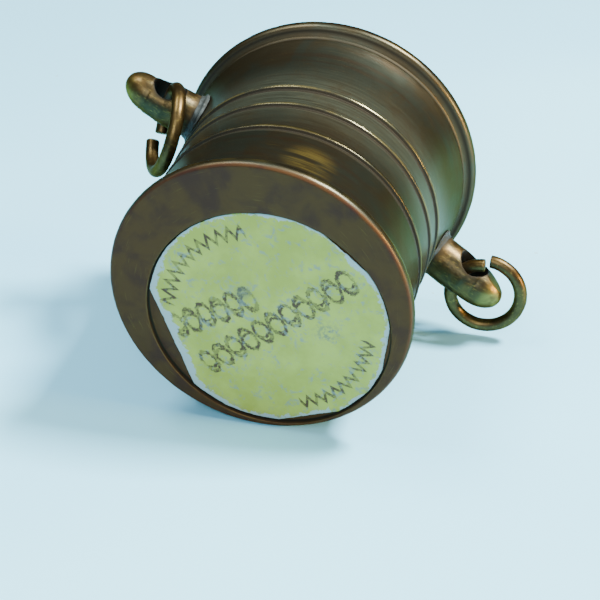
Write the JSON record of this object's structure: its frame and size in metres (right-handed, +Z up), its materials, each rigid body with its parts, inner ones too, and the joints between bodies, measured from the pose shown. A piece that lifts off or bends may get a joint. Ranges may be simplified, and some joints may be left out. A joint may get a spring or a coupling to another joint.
{
  "type": "miniature mortar",
  "caption": "Small turned brass mortar: an open waisted cup with a flanged foot, fine ridges, a rolled rim and loose rings in pierced side lugs.",
  "frame": {"origin": "centre of the foot's underside, on the turning axis", "axes": "+Z up the turning axis from the foot to the open mouth, +X out along the right lug, -X out along the left lug"},
  "size_m": [0.0501, 0.0334, 0.0295],
  "materials": {
    "body": "satin",
    "lugs": "satin",
    "rings": "satin",
    "solder": "matte",
    "label": "matte"
  },
  "bodies": {
    "mortar": {"mortar_body": "body", "lug_left": "lugs", "lug_right": "lugs", "solder_left": "solder", "solder_right": "solder", "base_label": "label"},
    "ring_left": {"ring_left": "rings"},
    "ring_right": {"ring_right": "rings"}
  },
  "joints": [
    {"name": "ring_left_swing", "type": "hinge", "parent": "mortar", "child": "ring_left", "pos_m": [-0.01883, 0, 0.02249], "axis": [0, 1, 0], "range_deg": [0, 210]},
    {"name": "ring_right_swing", "type": "hinge", "parent": "mortar", "child": "ring_right", "pos_m": [0.01917, 0, 0.02284], "axis": [0, 1, 0], "range_deg": [-85, 120]}
  ]
}
